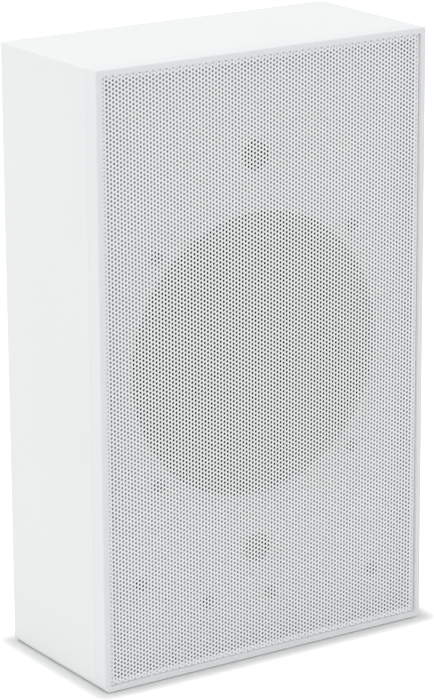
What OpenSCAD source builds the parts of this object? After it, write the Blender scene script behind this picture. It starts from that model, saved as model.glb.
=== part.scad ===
// Wall speaker: a moulded rear housing, a baffle that carries the driver, the line
// transformer and the terminal block, and a front frame that holds a perforated grille.
// X is to the right seen from the front, Y runs from the front to the wall, Z is up.
// The origin is at the middle of the underside.

/* [Casing] */
// Overall width of the speaker
width = 182; // [178:1:230]
// Overall height of the speaker
height = 295; // [285:1:380]
// Overall depth from the wall to the front of the frame
depth = 85; // [83:1:130]
// Thickness of the housing's walls
wall = 4.5; // [3.5:0.1:5]
// Radius of the two upper edges that run from front to back
top_edge_r = 0.8; // [0.4:0.1:3]
// Radius of the two lower edges that run from front to back
bottom_edge_r = 3; // [1:0.1:4]
// Radius of the edges round the wall side
back_edge_r = 1; // [1:0.1:3.5]

/* [Front frame] */
// Depth of the front frame, from the seam with the housing to its front
frame_depth = 9; // [8:0.5:14]
// Width of the frame's front band round the grille
band = 2.9; // [2.4:0.1:5]
// Width of the ledge behind the grille
ledge = 2.5; // [1.8:0.1:4]
// Radius of the frame's outer front edge
front_edge_r = 0.8; // [0.4:0.1:1.5]
// Radius of the edges on both sides of the seam
seam_edge_r = 0.2; // [0.1:0.1:0.5]
// Distance of the grille behind the front of the frame
grille_setback = 1.5; // [0.5:0.1:2.5]
// Width of the coring groove in the back of the frame
core_groove = 1.2; // [0.6:0.1:1.4]
// Diameter of the snap pins that hold the frame on the baffle
pin_d = 3; // [2:0.1:3.5]
// Distance of the side pins above and below the middle
side_pin_z = 75; // [60:1:100]
// Distance of the upper and lower pins to the left and right of the middle
end_pin_x = 45; // [30:1:60]

/* [Grille] */
// Thickness of the perforated sheet
grille_t = 0.6; // [0.5:0.1:1.2]
// Distance from hole to hole in the staggered pattern
hole_pitch = 9; // [8:0.5:20]
// Diameter of a hole in the sheet
hole_d = 5.4; // [3:0.1:6]
// Plain margin of the sheet round the pattern
grille_margin = 2; // [1:0.5:8]

/* [Baffle] */
// Thickness of the baffle
baffle_t = 4; // [3:0.5:6]
// Width of the step in the housing that the baffle sits on
step_w = 2; // [1.5:0.1:2.2]
// Thickness of the foam seal under the rim of the baffle
seal_t = 1; // [0.6:0.1:2]
// Inner diameter of the two vent tubes
port_d = 15; // [10:1:18]
// Free space between the driver's flange and the vent tubes
port_gap = 4; // [1:0.5:12]
// Wall thickness of the vent tubes
port_wall = 2; // [1.5:0.1:2.5]
// Length of the vent tubes behind the baffle
port_len = 18; // [8:1:30]

/* [Driver] */
// Free width kept on each side of the driver's flange
driver_side_gap = 4; // [3:0.5:8]
// Free height kept above and below the driver for the vents and the transformer
driver_end_space = 60.5; // [58:0.5:70]
// Distance of the driver's screws from the edge of the flange
screw_inset = 5; // [4.5:0.1:5.5]
// How far the flange and its gasket reach beyond the opening in the baffle
opening_inset = 13.5; // [12.5:0.5:17]
// Thickness of the card gasket between flange and baffle
gasket_t = 3; // [2:0.1:4]
// Thickness of the basket's pressed sheet
basket_t = 1.2; // [0.8:0.1:1.6]
// Number of windows in the basket
windows = 6; // [4:1:8]
// Distance from the edge of the flange to the middle of the surround's roll
roll_inset = 19; // [18.5:0.1:20.5]
// Height of the surround's roll
roll_h = 5.5; // [4:0.1:6]
// Thickness of the surround
surround_t = 0.6; // [0.4:0.1:1]
// Free space between the motor and the back wall of the housing
motor_gap = 4.3; // [3:0.1:9]
// Distance from the neck of the cone back to the seat of the spider
spider_drop = 6; // [5:0.5:7]
// Thickness of the paper cone
cone_t = 0.8; // [0.5:0.1:1.2]
// Radius of the dust cap where it meets the cone
cap_r = 19; // [16:0.5:22]
// Height of the dust cap
cap_h = 7; // [5:0.5:9]
// Thickness of the spider
spider_t = 0.5; // [0.4:0.1:0.8]
// Depth of the cup in the basket below the spider
cup_h = 8; // [7:0.5:10]

/* [Motor] */
// Outer diameter of the voice coil former
former_d = 26; // [25:0.1:27]
// Wall thickness of the former
former_t = 0.3; // [0.2:0.05:0.5]
// Thickness of the copper winding on the former
winding_t = 0.5; // [0.3:0.1:0.8]
// Length of the winding along the former
winding_h = 8; // [6:0.5:9]
// Thickness of the top plate and of the back plate
plate_t = 5; // [4:0.5:5]
// Diameter of the two steel plates
plate_d = 76; // [72:1:78]
// Outer diameter of the ring magnet
magnet_d = 80; // [80:1:90]
// Thickness of the ring magnet
magnet_t = 11; // [9.5:0.5:12]
// Bore of the ring magnet
magnet_bore = 42; // [36:1:50]
// Diameter of the vent through the pole
pole_vent_d = 8; // [5:0.5:12]

/* [Line transformer] */
// Width of the laminated core
core_w = 48; // [44:1:50]
// Length of the core away from the baffle
core_h = 40; // [36:1:44]
// Thickness of the stack of laminations
stack_t = 16; // [12:1:18]
// Distance between the two mounting screws
transformer_span = 60; // [58:1:62]
// Width of the clamp band
clamp_w = 14; // [8:1:14]
// Thickness of the clamp band
clamp_t = 1; // [0.8:0.1:1.4]

/* [Terminal block] */
// Distance between the two screws that hold the block
block_span = 40.6; // [38:0.2:44]
// Number of poles in the block
poles = 4; // [2:1:4]
// Distance from pole to pole
pole_pitch = 8; // [7:0.2:8.4]
// Width of the block
block_w = 16; // [14:1:20]
// Height of the block above the baffle
block_h = 13; // [11:1:16]

/* [Leads] */
// Outer diameter of the insulated leads
lead_d = 1.8; // [1.2:0.1:2.4]
// Diameter of the braided leads to the cone
tinsel_d = 1; // [0.8:0.1:1.4]
// Gap of solder or resin at the end of a lead
lead_gap = 0.2; // [0.1:0.05:0.4]

/* [Wall side] */
// Distance between the left and right wall screws
wall_span_x = 120; // [100:1:130]
// Distance between the upper and lower wall screws
wall_span_z = 140; // [130:1:150]
// Diameter of the wall screw holes
wall_hole_d = 5.5; // [4:0.5:7]
// Diameter of the hole in the housing for the grommet
grommet_hole_d = 12; // [11:0.5:14]
// Bore of the grommet that the cable passes through
cable_d = 8; // [5:0.5:8.5]
// Height of the cable entry above the underside
cable_z = 62; // [58:1:66]

/* [Fasteners and clearances] */
// Head diameter of all the screws
head_d = 6; // [5.5:0.1:6.6]
// Head height of all the screws
head_h = 2; // [1.6:0.1:2.6]
// Shank diameter of the machine screws
shank_d = 4; // [3:0.1:4]
// Shank diameter of the screws that go into the housing's bosses
tapping_d = 3.5; // [3:0.1:3.5]
// Outer diameter of the bosses in the housing
boss_d = 9; // [8:0.5:9]
// How far the screws of the baffle go into the bosses
screw_bite = 12; // [8:1:14]
// Clearance round a screw in its hole, on the radius
screw_gap = 0.25; // [0.1:0.05:0.4]
// Clearance round parts that drop into each other, on each side
fit_gap = 0.3; // [0.15:0.05:0.4]
// Thickness of a glue line between round surfaces
glue_gap = 0.1; // [0.05:0.05:0.2]
// Free gap on each side of the voice coil
coil_gap = 0.4; // [0.3:0.05:0.6]

/* [Hidden] */
$fn = 72;

// Planes from front to back
front_y = -depth / 2;
back_y = depth / 2;
seam_y = front_y + frame_depth;
baffle_back_y = seam_y + baffle_t;
seal_back_y = baffle_back_y + seal_t;
back_in_y = back_y - wall;
grille_front_y = front_y + grille_setback;
grille_back_y = grille_front_y + grille_t;
axis_z = height / 2;
// A cut runs past the faces it opens by this much
over = 1;

// Inside sizes of the casing
cavity_w = width - 2 * wall;
cavity_h = height - 2 * wall;
seat_w = cavity_w + 2 * step_w;
seat_h = cavity_h + 2 * step_w;
baffle_w = seat_w - 2 * fit_gap;
baffle_h = seat_h - 2 * fit_gap;
pocket_w = width - 2 * band;
pocket_h = height - 2 * band;
frame_in_w = pocket_w - 2 * ledge;
frame_in_h = pocket_h - 2 * ledge;
grille_w = pocket_w - 2 * fit_gap;
grille_h = pocket_h - 2 * fit_gap;
corner_r = 1;

// Bosses that carry the baffle: four corners and the middle of the top and the bottom
boss_inset = wall + 5.5;
boss_x = width / 2 - boss_inset;
boss_z = height / 2 - boss_inset;
boss_places = [
    [-boss_x, -boss_z], [boss_x, -boss_z], [-boss_x, boss_z],
    [boss_x, boss_z], [0, -boss_z], [0, boss_z]
];
rib_t = 2.4;

// Snap pins of the front frame
lug_d = pin_d + 4;
lug_t = 3;
lug_x = frame_in_w / 2 - lug_d / 2 + 1;
lug_z = frame_in_h / 2 - lug_d / 2 + 1;
pin_places = [
    [-lug_x, -side_pin_z], [-lug_x, side_pin_z], [lug_x, -side_pin_z], [lug_x, side_pin_z],
    [-end_pin_x, -lug_z], [end_pin_x, -lug_z], [-end_pin_x, lug_z], [end_pin_x, lug_z]
];
pin_tip = 2;
groove_deep = 3;

// The driver is the largest that leaves its gaps, and all its rings follow its flange
driver_d = min(cavity_w - 2 * driver_side_gap, cavity_h - 2 * driver_end_space);
opening_d = driver_d - 2 * opening_inset;
roll_mid_r = driver_d / 2 - roll_inset;
port_tube_r = port_d / 2 + port_wall;
port_offset = driver_d / 2 + port_gap + port_tube_r;

// Stack of the driver from the baffle backwards
flange_y = baffle_back_y + gasket_t;
motor_stack = spider_drop + cup_h + basket_t + plate_t + magnet_t + plate_t;
cone_depth = back_in_y - motor_gap - motor_stack - flange_y;
rim_y = flange_y - surround_t;
lip_r = roll_mid_r - roll_h;
rim_in_r = roll_mid_r + roll_h - surround_t;
rim_out_r = rim_in_r + 3.6;
gasket_in_r = rim_out_r + fit_gap;
flange_in_r = rim_in_r - 0.4;
driver_screw_r = driver_d / 2 - screw_inset;
driver_screw_angles = [45, 135, 225, 315];
neck_y = flange_y + cone_depth;
former_r = former_d / 2;
cone_in_r = former_r + glue_gap;
cone_lip_w = 2.6;
cone_out_r = lip_r + 0.4;
seat_y = neck_y + spider_drop;
seat_in_r = 34;
seat_out_r = seat_in_r + 7;
base_y = seat_y + cup_h;
top_plate_y = base_y + basket_t;
magnet_y = top_plate_y + plate_t;
yoke_y = magnet_y + magnet_t;
yoke_back_y = yoke_y + plate_t;
winding_r = former_r + winding_t;
gap_out_r = winding_r + coil_gap;
pole_r = former_r - former_t - coil_gap;
basket_hole_r = gap_out_r + 4;
// The basket's windows start this far behind its flange, whatever its wall's slope
window_start = 4.8;
wall_top_r = flange_in_r + 1.6 * basket_t;
wall_slope = (wall_top_r - seat_out_r - basket_t) / (seat_y - flange_y);
window_out_r = wall_top_r - window_start * wall_slope;
window_in_r = seat_out_r + basket_t + 2.5;
winding_mid_y = top_plate_y + plate_t / 2;
former_front_y = neck_y - 1;
former_back_y = winding_mid_y + winding_h / 2 + 1;

// Nuts of the machine screws, and how far a screw stands out of its nut
nut_w = 7;
nut_h = 3;
screw_end = 1.5;

// Tag strip on the back of the flange
tag_strip_l = 22;
tag_strip_w = 9;
tag_strip_t = 1.6;
tag_strip_z = -(driver_d / 2 - tag_strip_w / 2 - 2);
tag_x = 6;
tag_w = 3;
tag_t = 0.5;
tag_l = 6;

// The transformer hangs behind the baffle, low on the right
transformer_side = 49;
transformer_rise = 23;
transformer_x = cavity_w / 2 - transformer_side;
transformer_z = -cavity_h / 2 + transformer_rise;
yoke_leg = core_w / 6;
window_h = core_h - 2 * yoke_leg;
bobbin_gap = 0.3;
bobbin_t = 1;
bobbin_w = 2 * yoke_leg + 2 * yoke_leg - 2 * bobbin_gap;
bobbin_d = stack_t + bobbin_w - 2 * yoke_leg;
core_front_y = baffle_back_y + clamp_t;

// The terminal block sits behind the baffle, low on the left, turned a little
block_side = 39.5;
block_rise = 33.6;
block_x = -cavity_w / 2 + block_side;
block_z = -cavity_h / 2 + block_rise;
block_turn = -23.6;
block_l = block_span + 14;
foot_h = 3;
clamp_hole_d = 3.6;
clamp_hole_deep = 5;
pole_hole_rise = 2.5;
pole_screw_h = 4;
pole_slot_w = 0.7;
pole_slot_deep = 0.8;

// Leads: straight ends, the bow of each pair, and how far the second lead runs beyond the first
lead_end = 4;
input_bow = 10;
driver_bow = 4;
lead_apart = 3.5;
vent_gap = 5;
tinsel_end = 2.4;
tinsel_bow = 1.5;

// Back wall: pads round the wall screws, ribs beside them, and the grommet's rims
pad_d = wall_hole_d + 8;
pad_h = 2;
rib_h = 2.5;
rib_x = wall_span_x / 2 - pad_d / 2;
rib_z = wall_span_z / 2 - pad_d / 2;
boss_bore = screw_bite + 8;
grommet_rim_t = 1.6;
grommet_rim_d = grommet_hole_d + 4;
grommet_sink = grommet_rim_t + 0.3;

// Helpers
module about_axis() {
    translate([0, 0, axis_z]) rotate([-90, 0, 0]) children();
}

module along_y(y, length) {
    translate([0, y + length, axis_z]) rotate([90, 0, 0]) linear_extrude(length) children();
}

module post_y(x, z, y, length, d) {
    translate([x, y, axis_z + z]) rotate([-90, 0, 0]) cylinder(d = d, h = length);
}

module rounded_rect(w, h, r) {
    square([w - 2 * r, h], center = true);
    square([w, h - 2 * r], center = true);
    for (sx = [-1, 1])
        for (sz = [-1, 1])
            translate([sx * (w / 2 - r), sz * (h / 2 - r)]) circle(r);
}

// Outline of the casing seen from the front, rounder below than above
module casing_outline() {
    half_h = height / 2;
    for (end = [[-1, bottom_edge_r], [1, top_edge_r]]) {
        side = end[0];
        r = end[1];
        translate([-width / 2, side > 0 ? 0 : r - half_h]) square([width, half_h - r]);
        translate([r - width / 2, side > 0 ? 0 : -half_h]) square([width - 2 * r, half_h]);
        for (sx = [-1, 1]) translate([sx * (width / 2 - r), side * (half_h - r)]) circle(r);
    }
}

// Side profile of the casing with its front and back corners rounded
module depth_profile(length, y_from, y_to, front_r, rear_r) {
    d = y_to - y_from;
    translate([0, y_from]) {
        translate([-length / 2 + front_r, 0]) square([length - 2 * front_r, d / 2]);
        translate([-length / 2, front_r]) square([length, d / 2 - front_r]);
        translate([-length / 2 + rear_r, d / 2]) square([length - 2 * rear_r, d / 2]);
        translate([-length / 2, d / 2]) square([length, d / 2 - rear_r]);
        for (s = [-1, 1]) {
            translate([s * (length / 2 - front_r), front_r]) circle(front_r);
            translate([s * (length / 2 - rear_r), d - rear_r]) circle(rear_r);
        }
    }
}

// A block with rounded long edges whose front or back edges are rounded as well
module casing_form(y_from, y_to, front_r, rear_r) {
    intersection() {
        along_y(y_from, y_to - y_from) casing_outline();
        linear_extrude(height) depth_profile(width, y_from, y_to, front_r, rear_r);
        translate([-width / 2, 0, axis_z]) rotate([0, 90, 0]) linear_extrude(width)
            depth_profile(height, y_from, y_to, front_r, rear_r);
    }
}

module cross_recess(y, size, deep) {
    for (turn = [45, 135])
        translate([0, y, 0]) rotate([0, turn, 0]) translate([-size / 2, -over, -0.5])
            cube([size, deep + over, 1]);
}

// A pan head screw at x, z whose head lies in front of plane y
module pan_screw(x, z, y, length, d) {
    translate([x, 0, axis_z + z])
        difference() {
            translate([0, y, 0]) rotate([-90, 0, 0]) rotate_extrude()
                polygon([
                    [0, -head_h], [head_d / 2 - 0.8, -head_h], [head_d / 2, -head_h + 0.8],
                    [head_d / 2, 0], [d / 2, 0], [d / 2, length - 0.6],
                    [d / 2 - 0.6, length], [0, length]
                ]);
            cross_recess(y - head_h, head_d * 0.55, head_h * 0.6);
        }
}

module hex_nut(x, z, y) {
    translate([x, y, axis_z + z]) rotate([-90, 0, 0])
        difference() {
            cylinder(d = nut_w / cos(30), h = nut_h, $fn = 6);
            translate([0, 0, -over]) cylinder(d = shank_d + 0.2, h = nut_h + 2 * over, $fn = 36);
        }
}

module clear_hole(x, z, d) {
    post_y(x, z, seam_y - over, baffle_t + 2 * over, d + 2 * screw_gap);
}

function driver_screw_place(a) = [driver_screw_r * cos(a), driver_screw_r * sin(a)];

function transformer_screw_x(side) = transformer_x + side * transformer_span / 2;

function block_screw_place(side) = [
    block_x + side * block_span / 2 * cos(block_turn),
    block_z + side * block_span / 2 * sin(block_turn)
];

// Casing
module rear_housing() {
    color("whitesmoke") difference() {
        union() {
            difference() {
                casing_form(seam_y, back_y, seam_edge_r, back_edge_r);
                along_y(seam_y - over, back_in_y - seam_y + over)
                    rounded_rect(cavity_w, cavity_h, corner_r);
                along_y(seam_y - over, seal_back_y - seam_y + over)
                    rounded_rect(seat_w, seat_h, corner_r);
            }
            for (p = boss_places) boss(p[0], p[1]);
            for (sx = [-1, 1]) for (sz = [-1, 1])
                post_y(sx * wall_span_x / 2, sz * wall_span_z / 2, back_in_y - pad_h,
                    pad_h + over, pad_d);
            for (s = [-1, 1]) {
                translate([-width / 2 + wall / 2, back_in_y - rib_h, axis_z + s * rib_z - rib_t / 2])
                    cube([width - wall, rib_h + over, rib_t]);
                translate([s * rib_x - rib_t / 2, back_in_y - rib_h, wall / 2])
                    cube([rib_t, rib_h + over, height - wall]);
            }
        }
        for (p = boss_places)
            post_y(p[0], p[1], baffle_back_y - over, boss_bore + over,
                tapping_d + 2 * screw_gap);
        for (sx = [-1, 1]) for (sz = [-1, 1])
            post_y(sx * wall_span_x / 2, sz * wall_span_z / 2, back_in_y - pad_h - over,
                wall + pad_h + 2 * over, wall_hole_d);
        post_y(0, cable_z - axis_z, back_in_y - over, wall + 2 * over, grommet_hole_d);
        post_y(0, cable_z - axis_z, back_y - grommet_sink, grommet_sink + over,
            grommet_rim_d + 2);
        post_y(0, cable_z - axis_z, back_in_y - rib_h - over, rib_h + over, grommet_rim_d + 2);
    }
}

module boss(x, z) {
    tall = back_in_y - baffle_back_y + over;
    post_y(x, z, baffle_back_y, tall, boss_d);
    side = sign(x);
    if (x != 0)
        translate([x + (side > 0 ? 0 : -boss_inset + wall / 2), seal_back_y, axis_z + z - rib_t / 2])
            cube([boss_inset - wall / 2, back_in_y - seal_back_y + over, rib_t]);
    translate([x - rib_t / 2, seal_back_y, axis_z + z + (z > 0 ? 0 : -boss_inset + wall / 2)])
        cube([rib_t, back_in_y - seal_back_y + over, boss_inset - wall / 2]);
}

module front_frame() {
    color("white") union() {
        difference() {
            casing_form(front_y, seam_y, front_edge_r, seam_edge_r);
            along_y(front_y - over, grille_back_y - front_y + over)
                rounded_rect(pocket_w, pocket_h, corner_r);
            along_y(front_y, frame_depth + over)
                rounded_rect(frame_in_w, frame_in_h, corner_r);
            core_channel();
        }
        for (p = pin_places) snap_pin(p[0], p[1]);
    }
}

// Groove in the back of the frame that keeps its wall from sinking
module core_channel() {
    groove_in_w = frame_in_w + 2 * rib_t;
    groove_in_h = frame_in_h + 2 * rib_t;
    along_y(seam_y - groove_deep, groove_deep + over) difference() {
        rounded_rect(groove_in_w + 2 * core_groove, groove_in_h + 2 * core_groove, corner_r);
        rounded_rect(groove_in_w, groove_in_h, corner_r);
    }
}

module snap_pin(x, z) {
    post_y(x, z, seam_y - lug_t, lug_t, lug_d);
    translate([x, seam_y, axis_z + z]) rotate([-90, 0, 0]) rotate_extrude($fn = 36)
        polygon([
            [0, -over], [pin_d / 2 - 0.1, -over], [pin_d / 2 - 0.1, baffle_t],
            [pin_d / 2 + 0.2, baffle_t + 0.5], [pin_d / 4, baffle_t + pin_tip],
            [0, baffle_t + pin_tip]
        ]);
}

module grille() {
    row_step = hole_pitch;
    column_step = hole_pitch * sin(60);
    half_columns = floor((grille_w / 2 - grille_margin - hole_d / 2) / column_step);
    half_rows = floor((grille_h / 2 - grille_margin - hole_d / 2) / row_step);
    color("gainsboro") along_y(grille_front_y, grille_t) difference() {
        rounded_rect(grille_w, grille_h, corner_r);
        for (i = [-half_columns:half_columns])
            let (shift = abs(i) % 2)
                for (k = [-half_rows:half_rows - shift])
                    translate([i * column_step, (k + shift / 2) * row_step])
                        circle(d = hole_d, $fn = 24);
    }
}

module baffle() {
    color("white") difference() {
        union() {
            along_y(seam_y, baffle_t) rounded_rect(baffle_w, baffle_h, corner_r);
            for (s = [-1, 1])
                post_y(0, s * port_offset, baffle_back_y - over, port_len + over,
                    2 * port_tube_r);
        }
        post_y(0, 0, seam_y - over, baffle_t + 2 * over, opening_d);
        for (s = [-1, 1])
            post_y(0, s * port_offset, seam_y - over, baffle_t + port_len + 2 * over, port_d);
        for (p = boss_places) clear_hole(p[0], p[1], tapping_d);
        for (p = pin_places) clear_hole(p[0], p[1], pin_d);
        for (a = driver_screw_angles)
            let (p = driver_screw_place(a)) clear_hole(p[0], p[1], shank_d);
        for (side = [-1, 1]) {
            clear_hole(transformer_screw_x(side), transformer_z, shank_d);
            let (p = block_screw_place(side)) clear_hole(p[0], p[1], shank_d);
        }
    }
}

module baffle_seal() {
    color("dimgray") along_y(baffle_back_y, seal_t) difference() {
        rounded_rect(seat_w - 2 * fit_gap, seat_h - 2 * fit_gap, corner_r);
        rounded_rect(cavity_w, cavity_h, corner_r);
    }
}

module baffle_screws() {
    color("white") for (p = boss_places)
        pan_screw(p[0], p[1], seam_y, baffle_t + screw_bite, tapping_d);
}

// Driver
module basket() {
    color("dimgray") difference() {
        about_axis() rotate_extrude()
            polygon([
                [driver_d / 2, flange_y], [flange_in_r, flange_y],
                [seat_out_r, seat_y], [seat_in_r, seat_y], [seat_in_r, base_y],
                [basket_hole_r, base_y], [basket_hole_r, base_y + basket_t],
                [seat_in_r + basket_t, base_y + basket_t],
                [seat_in_r + basket_t, seat_y + basket_t],
                [seat_out_r + basket_t, seat_y + basket_t],
                [wall_top_r, flange_y + basket_t],
                [driver_d / 2, flange_y + basket_t]
            ]);
        along_y(flange_y + basket_t + 2, seat_y - flange_y) basket_windows();
        for (a = driver_screw_angles)
            let (p = driver_screw_place(a))
                post_y(p[0], p[1], flange_y - over, basket_t + 2 * over, shank_d + 2 * screw_gap);
    }
}

module basket_windows() {
    open_angle = 0.72 * 360 / windows;
    difference() {
        circle(r = window_out_r);
        circle(r = window_in_r);
        for (i = [0:windows - 1])
            rotate(i * 360 / windows + open_angle / 2 - 90)
                polygon([
                    [0, 0], [driver_d, 0],
                    driver_d * [cos(360 / windows - open_angle), sin(360 / windows - open_angle)]
                ]);
    }
}

module driver_gasket() {
    color("saddlebrown") difference() {
        about_axis() rotate_extrude()
            translate([gasket_in_r, baffle_back_y])
                square([driver_d / 2 - 0.5 - gasket_in_r, gasket_t]);
        for (a = driver_screw_angles)
            let (p = driver_screw_place(a))
                post_y(p[0], p[1], baffle_back_y - over, gasket_t + 2 * over,
                    shank_d + 2 * screw_gap);
    }
}

module driver_screws() {
    color("dimgray") for (a = driver_screw_angles)
        let (p = driver_screw_place(a))
            pan_screw(p[0], p[1], seam_y,
                baffle_t + gasket_t + basket_t + nut_h + screw_end, shank_d);
}

module driver_nuts() {
    color("silver") for (a = driver_screw_angles)
        let (p = driver_screw_place(a)) hex_nut(p[0], p[1], flange_y + basket_t);
}

module surround() {
    color("black") about_axis() rotate_extrude() {
        intersection() {
            translate([roll_mid_r, flange_y]) difference() {
                circle(roll_h);
                circle(roll_h - surround_t);
            }
            translate([0, flange_y - 2 * roll_h]) square([2 * roll_mid_r, 2 * roll_h]);
        }
        translate([rim_in_r, rim_y]) square([rim_out_r - rim_in_r, surround_t]);
        translate([lip_r - cone_lip_w, rim_y])
            square([cone_lip_w + surround_t, surround_t]);
    }
}

// Depth of the cone's front surface at radius r
function cone_y(r) =
    let (t = (r - cone_in_r) / (cone_out_r - cone_lip_w - cone_in_r))
        neck_y - (neck_y - flange_y) * (1.3 * t - 0.3 * t * t);

module cone() {
    steps = 8;
    body_r = cone_out_r - cone_lip_w;
    radii = [for (i = [0:steps]) cone_in_r + (body_r - cone_in_r) * i / steps];
    color("dimgray") about_axis() rotate_extrude()
        polygon(concat(
            [for (r = radii) [r, cone_y(r)]],
            [[cone_out_r, flange_y], [cone_out_r, flange_y + cone_t]],
            [for (i = [steps:-1:0]) [radii[i], cone_y(radii[i]) + cone_t]]
        ));
}

module dust_cap() {
    ball_r = (cap_r * cap_r + cap_h * cap_h) / (2 * cap_h);
    cap_t = 0.6;
    cap_back_y = cone_y(cap_r) - glue_gap;
    color("dimgray") about_axis() rotate_extrude() intersection() {
        translate([0, cap_back_y + ball_r - cap_h]) difference() {
            circle(ball_r);
            circle(ball_r - cap_t);
        }
        translate([0, cap_back_y - 2 * cap_h]) square([cap_r + 1, 2 * cap_h]);
    }
}

module voice_coil_former() {
    color("goldenrod") about_axis() rotate_extrude()
        translate([former_r - former_t, former_front_y])
            square([former_t, former_back_y - former_front_y]);
}

module voice_coil_winding() {
    color("peru") about_axis() rotate_extrude()
        translate([former_r + glue_gap / 2, winding_mid_y - winding_h / 2])
            square([winding_t - glue_gap / 2, winding_h]);
}

module spider() {
    waves = 4;
    steps = 6 * waves;
    wave_h = 1.2;
    in_r = former_r + glue_gap;
    flat_r = seat_in_r - 1;
    mid_y = seat_y - spider_t;
    points = [for (i = [0:steps])
        [in_r + (flat_r - in_r) * i / steps, mid_y - wave_h * sin(360 * waves * i / steps)]];
    color("khaki") about_axis() rotate_extrude()
        polygon(concat(
            points,
            [[seat_out_r - 1, mid_y], [seat_out_r - 1, mid_y + spider_t]],
            [for (i = [steps:-1:0]) points[i] + [0, spider_t]]
        ));
}

// Motor
module top_plate() {
    color("silver") about_axis() rotate_extrude()
        translate([gap_out_r, top_plate_y]) square([plate_d / 2 - gap_out_r, plate_t]);
}

module magnet() {
    color("darkslategray") about_axis() rotate_extrude()
        polygon([
            [magnet_bore / 2, magnet_y], [magnet_d / 2 - 1, magnet_y],
            [magnet_d / 2, magnet_y + 1], [magnet_d / 2, yoke_y - 1],
            [magnet_d / 2 - 1, yoke_y], [magnet_bore / 2, yoke_y]
        ]);
}

module yoke() {
    color("silver") about_axis() rotate_extrude()
        polygon([
            [pole_vent_d / 2, top_plate_y], [pole_r - 0.5, top_plate_y],
            [pole_r, top_plate_y + 0.5], [pole_r, yoke_y], [plate_d / 2, yoke_y],
            [plate_d / 2, yoke_back_y - 1], [plate_d / 2 - 1, yoke_back_y],
            [pole_vent_d / 2, yoke_back_y]
        ]);
}

module tag_strip() {
    color("saddlebrown") along_y(flange_y + basket_t, tag_strip_t)
        translate([0, tag_strip_z]) difference() {
            rounded_rect(tag_strip_l, tag_strip_w, 1);
            for (s = [-1, 1]) translate([s * tag_x, 0]) circle(d = 1.6, $fn = 24);
        }
}

module solder_tags() {
    color("silver") for (s = [-1, 1])
        translate([s * tag_x, flange_y + basket_t + tag_strip_t, axis_z + tag_strip_z]) {
            translate([-tag_w / 2, 0, -tag_l / 2]) cube([tag_w, tag_t, tag_l]);
            translate([-tag_w / 2, 0, tag_l / 2 - tag_t]) cube([tag_w, tag_l, tag_t]);
        }
}

// Line transformer
module core_section() {
    difference() {
        translate([-core_w / 2, 0]) square([core_w, core_h]);
        for (s = [-1, 1])
            translate([s * 1.5 * yoke_leg - yoke_leg / 2, yoke_leg]) square([yoke_leg, window_h]);
    }
}

module transformer_place() {
    translate([transformer_x, core_front_y, axis_z + transformer_z]) children();
}

module transformer_core() {
    color("dimgray") transformer_place() translate([0, 0, -stack_t / 2])
        linear_extrude(stack_t) core_section();
}

// A block round the middle leg, w wide and d deep, between two places along the leg
module leg_sleeve(w, d, from, to, hole_w, hole_d) {
    translate([0, to, 0]) rotate([90, 0, 0]) linear_extrude(to - from) difference() {
        square([w, d], center = true);
        square([hole_w, hole_d], center = true);
    }
}

module transformer_bobbin() {
    hole_w = 2 * yoke_leg + 2 * bobbin_gap;
    hole_d = stack_t + 2 * bobbin_gap;
    from = yoke_leg + bobbin_gap;
    to = core_h - yoke_leg - bobbin_gap;
    color("ivory") transformer_place() {
        leg_sleeve(hole_w + 2 * bobbin_t, hole_d + 2 * bobbin_t, from, to, hole_w, hole_d);
        leg_sleeve(bobbin_w, bobbin_d, from, from + bobbin_t, hole_w, hole_d);
        leg_sleeve(bobbin_w, bobbin_d, to - bobbin_t, to, hole_w, hole_d);
    }
}

module transformer_winding() {
    in_w = 2 * yoke_leg + 2 * bobbin_gap + 2 * bobbin_t;
    in_d = stack_t + 2 * bobbin_gap + 2 * bobbin_t;
    from = yoke_leg + bobbin_gap + bobbin_t;
    to = core_h - yoke_leg - bobbin_gap - bobbin_t;
    color("goldenrod") transformer_place()
        translate([0, to, 0]) rotate([90, 0, 0]) linear_extrude(to - from) difference() {
            rounded_rect(bobbin_w - 1, bobbin_d - 1, 3);
            square([in_w, in_d], center = true);
        }
}

module transformer_clamp() {
    foot_end = transformer_span / 2 + 5;
    side_x = core_w / 2;
    color("silver") transformer_place() difference() {
        translate([0, 0, -clamp_w / 2]) linear_extrude(clamp_w) {
            for (s = [-1, 1]) {
                translate([s > 0 ? side_x : -side_x - clamp_t, -clamp_t])
                    square([clamp_t, core_h + 2 * clamp_t]);
                translate([s > 0 ? side_x : -foot_end, -clamp_t])
                    square([foot_end - side_x, clamp_t]);
            }
            translate([-side_x - clamp_t, core_h]) square([core_w + 2 * clamp_t, clamp_t]);
        }
        for (s = [-1, 1])
            translate([s * transformer_span / 2, -clamp_t - over, 0]) rotate([-90, 0, 0])
                cylinder(d = shank_d + 2 * screw_gap, h = clamp_t + 2 * over);
    }
}

module transformer_screws() {
    color("dimgray") for (side = [-1, 1])
        pan_screw(transformer_screw_x(side), transformer_z, seam_y,
            baffle_t + clamp_t + nut_h + screw_end, shank_d);
}

module transformer_nuts() {
    color("silver") for (side = [-1, 1])
        hex_nut(transformer_screw_x(side), transformer_z, baffle_back_y + clamp_t);
}

// Terminal block
module block_place() {
    translate([block_x, baffle_back_y, axis_z + block_z]) rotate([0, -block_turn, 0]) children();
}

function pole_x(i) = (i - (poles - 1) / 2) * pole_pitch;

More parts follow.
